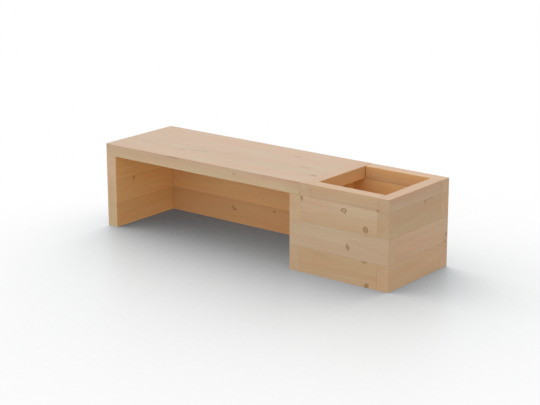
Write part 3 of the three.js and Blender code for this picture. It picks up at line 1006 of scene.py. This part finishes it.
class BENCH_OT_walls(bpy.types.Operator):
    """Makes the boards on edge: both sides, the partition, the planter's front and the long back"""

    bl_idname = "bench.walls"
    bl_label = "Wall boards"

    def execute(self, context):
        for name, board in WALLS.items():
            make_board(name, board, context.scene)
        return {"FINISHED"}


class BENCH_OT_seat(bpy.types.Operator):
    """Makes the four seat boards, laid tight side by side"""

    bl_idname = "bench.seat"
    bl_label = "Seat boards"

    def execute(self, context):
        for name, board in SEAT.items():
            make_board(name, board, context.scene)
        return {"FINISHED"}


class BENCH_OT_rim(bpy.types.Operator):
    """Makes the planter's rim of four pieces"""

    bl_idname = "bench.rim"
    bl_label = "Planter rim"

    def execute(self, context):
        gap = context.scene.bench_boards.open_joint
        for name, board in RIM.items():
            make_board(name, board, context.scene, trim=gap if name == "rim_back" else 0)
        return {"FINISHED"}


class BENCH_OT_inside(bpy.types.Operator):
    """Makes the battens under the seat, and the planter's cleats and floor slats"""

    bl_idname = "bench.inside"
    bl_label = "Battens and planter floor"

    def execute(self, context):
        for name, board in INSIDE.items():
            make_board(name, board, context.scene)
        return {"FINISHED"}


class BENCH_OT_screws(bpy.types.Operator):
    """Makes the zinc-plated screws, each in the place of its CAD node"""

    bl_idname = "bench.screws"
    bl_label = "Screws"

    def execute(self, context):
        plate = zinc_plate(context.scene.bench_zinc)
        patterns = {}
        for name in SCREWS:
            place, length = screw_place(name)
            pattern = (screw_shape(name), round(length / MM, 2))
            if pattern not in patterns:
                patterns[pattern] = make_screw(*pattern, context.scene.bench_screws)
            mesh = patterns[pattern].copy()
            mesh.transform(place)
            mesh.materials.append(plate)
            piece = bpy.data.objects.new("turned_" + name, mesh)
            context.scene.collection.objects.link(piece)
            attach(piece, BODY)
            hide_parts(name)
        for mesh in patterns.values():
            bpy.data.meshes.remove(mesh)
        return {"FINISHED"}


# Camera and studio
CAMERA_PLACE = (4.3437, -5.5039, 2.2091)
CAMERA_YAW = math.radians(38.29)  # to the left of straight back
CAMERA_PITCH = math.radians(15.92)  # down
CAMERA_ROLL = math.radians(-0.10)
CAMERA_LENS = 102.12  # millimetres, on a sensor 36 wide
FLOOR_RADIUS, FLOOR_SIDES = 9.0, 96
FLOOR_ROUGHNESS = 0.35  # blurs what the floor mirrors
SHADOW_SAMPLES = 16


class BENCH_OT_stage(bpy.types.Operator):
    """Makes the camera, the pale floor and the soft light"""

    bl_idname = "bench.stage"
    bl_label = "Studio"

    def execute(self, context):
        scene = context.scene
        light = scene.bench_light
        camera = bpy.data.objects.new("camera", bpy.data.cameras.new("camera"))
        scene.collection.objects.link(camera)
        turn = (
            Matrix.Rotation(CAMERA_YAW, 4, "Z")
            @ Matrix.Rotation(math.pi / 2 - CAMERA_PITCH, 4, "X")
            @ Matrix.Rotation(CAMERA_ROLL, 4, "Z")
        )
        camera.matrix_world = Matrix.Translation(CAMERA_PLACE) @ turn
        camera.data.lens = CAMERA_LENS
        scene.camera = camera

        bm = bmesh.new()
        bmesh.ops.create_circle(bm, cap_ends=True, radius=FLOOR_RADIUS, segments=FLOOR_SIDES)
        floor = show(bm, "floor")
        floor.data.materials.append(studio_floor(light))

        world = bpy.data.worlds.new("studio")
        world.use_nodes = True
        tree = world.node_tree
        tree.nodes.clear()
        way = add(tree, "TexCoord", {})
        strength = light.sky
        for toward, more in (((0, 0, 1), light.above), ((0, -1, 0), light.front), ((-1, 0, 0), light.left)):
            share = add(tree, "VectorMath", {0: way, 1: toward}, out=1, operation="DOT_PRODUCT")
            share = add(tree, "Math", {0: share, 1: 0.0}, operation="MAXIMUM")
            strength = add(tree, "Math", {0: share, 1: more, 2: strength}, operation="MULTIPLY_ADD")
        strength = add(tree, "Mix", {0: seen_by_eye(tree), 2: strength, 3: 1.0})
        sky = add(tree, "Background", {"Color": (1, 1, 1, 1), "Strength": strength})
        add(tree, "OutputWorld", {"Surface": sky})
        scene.world = world
        scene.view_settings.view_transform = "Standard"
        return {"FINISHED"}


def seen_by_eye(tree):
    """1 for what the camera sees straight, in a mirror or through glass, and 0 for light on its way."""
    path = add(tree, "LightPath", {}).node
    seen = path.outputs["Is Camera Ray"]
    for name in ("Is Glossy Ray", "Is Transmission Ray"):
        seen = add(tree, "Math", {0: seen, 1: path.outputs[name]}, operation="MAXIMUM")
    return seen


def studio_floor(light):
    """A satin white studio floor. The eye sees it white with the bench's soft shadow, which is how much of
    the sky the bench hides from each place, and with a faint blurred reflection of the bench. The shadow is
    a little cool, so that it is grey together with the warm reflection. Light on its way up has the colour
    of the bounce."""
    material = bpy.data.materials.new("studio floor, satin white")
    material.use_nodes = True
    tree = material.node_tree
    tree.nodes.clear()
    brightest = add(tree, "VectorMath", {0: tuple(light.shadow_lean)}, operation="NORMALIZE")
    reach = {"Distance": light.shadow_reach, "Normal": brightest}
    open_sky = add(tree, "AmbientOcclusion", reach, out=1, samples=SHADOW_SAMPLES)
    shade = add(tree, "VectorMath", {0: open_sky, 1: tuple(light.shadow_depth)}, operation="POWER")
    shade = add(tree, "VectorMath", {0: shade, 1: tuple(light.floor)}, operation="MULTIPLY")
    shown = add(tree, "Emission", {"Color": shade})
    mirrored = add(tree, "BsdfAnisotropic", {"Color": (1, 1, 1, 1), "Roughness": FLOOR_ROUGHNESS})
    shown = add(tree, "MixShader", {0: light.floor_gloss, 1: shown, 2: mirrored})
    bounce = add(tree, "Emission", {"Color": (*light.floor_bounce, 1)})
    floor = add(tree, "MixShader", {0: seen_by_eye(tree), 1: bounce, 2: shown})
    add(tree, "OutputMaterial", {"Surface": floor})
    return material


class BENCH_PT_panel(bpy.types.Panel):
    """Lists the bench's pieces"""

    bl_idname = "BENCH_PT_panel"
    bl_label = "Bench with planter"
    bl_space_type = "VIEW_3D"
    bl_region_type = "UI"
    bl_category = "Bench"

    def draw(self, context):
        for group, title in PANEL_GROUPS:
            box = self.layout.box()
            box.label(text=title)
            settings = getattr(context.scene, group)
            for name in settings.bl_rna.properties.keys():
                if name not in ("rna_type", "name"):
                    box.prop(settings, name)
        for operator in OPERATORS:
            self.layout.operator(operator.bl_idname)


PANEL_GROUPS = (
    ("bench_boards", "Boards"),
    ("bench_screws", "Screws and holes"),
    ("bench_spruce", "Spruce"),
    ("bench_zinc", "Zinc plate"),
    ("bench_light", "Light"),
)
GROUPS = (BoardSizes, ScrewSizes, SpruceFinish, ZincFinish, StudioLight)
OPERATORS = (
    BENCH_OT_stage,
    BENCH_OT_walls,
    BENCH_OT_seat,
    BENCH_OT_rim,
    BENCH_OT_inside,
    BENCH_OT_screws,
)


def register():
    for kind in (*GROUPS, *OPERATORS, BENCH_PT_panel):
        bpy.utils.register_class(kind)
    for (name, _), kind in zip(PANEL_GROUPS, GROUPS):
        setattr(bpy.types.Scene, name, PointerProperty(type=kind))


def unregister():
    for name, _ in PANEL_GROUPS:
        delattr(bpy.types.Scene, name)
    for kind in reversed((*GROUPS, *OPERATORS, BENCH_PT_panel)):
        bpy.utils.unregister_class(kind)


def main():
    register()
    bpy.ops.bench.stage()
    bpy.ops.bench.walls()
    bpy.ops.bench.seat()
    bpy.ops.bench.rim()
    bpy.ops.bench.inside()
    bpy.ops.bench.screws()


if __name__ == "__main__":
    main()
